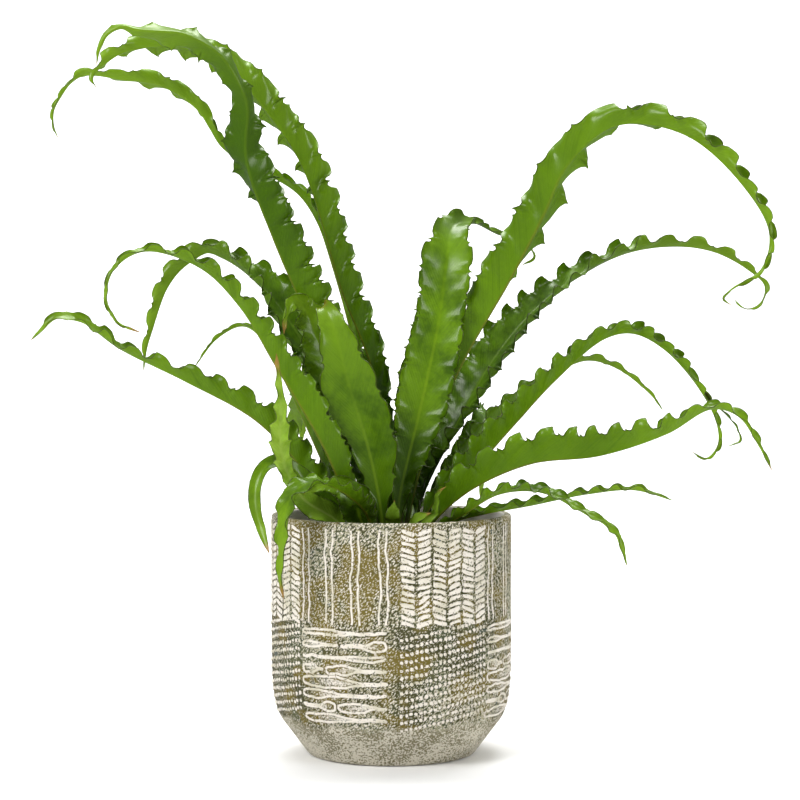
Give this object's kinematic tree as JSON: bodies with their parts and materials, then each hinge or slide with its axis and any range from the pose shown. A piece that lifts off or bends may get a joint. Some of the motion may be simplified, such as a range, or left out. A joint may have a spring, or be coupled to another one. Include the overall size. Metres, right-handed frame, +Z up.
{
  "type": "potted osaka birds nest fern",
  "caption": "Bird's nest fern with long narrow arching fronds that have strongly ruffled margins, growing in a straight stoneware pot with a sloped foot and carved bands.",
  "frame": {"origin": "centre of the pot's flat foot, on the surface that it stands on", "axes": "+Z up along the pot's axis, -Y the side seen in the picture, +X to its right"},
  "size_m": [0.4656, 0.2991, 0.4533],
  "materials": {
    "stoneware": "matte",
    "soil": "matte",
    "crown": "matte",
    "leaf": "satin",
    "leaf_deep": "satin",
    "leaf_young": "satin"
  },
  "bodies": {
    "root": {"pot": "stoneware", "soil": "soil", "crown": "crown", "frond_a": "leaf", "frond_b": "leaf", "frond_c": "leaf", "frond_d": "leaf_young", "frond_e": "leaf", "frond_f": "leaf_deep", "frond_g": "leaf", "frond_h": "leaf", "frond_i": "leaf", "frond_j": "leaf_young", "frond_k": "leaf", "frond_l": "leaf", "frond_m": "leaf", "frond_n": "leaf", "frond_o": "leaf_deep", "frond_p": "leaf", "frond_q": "leaf", "frond_r": "leaf_deep", "frond_s": "leaf", "frond_t": "leaf_deep", "frond_u": "leaf_young", "frond_v": "leaf", "frond_w": "leaf", "frond_x": "leaf_deep", "frond_y": "leaf_young", "frond_back_1": "leaf", "frond_back_2": "leaf_deep", "frond_back_3": "leaf", "frond_back_4": "leaf_deep"}
  },
  "joints": []
}
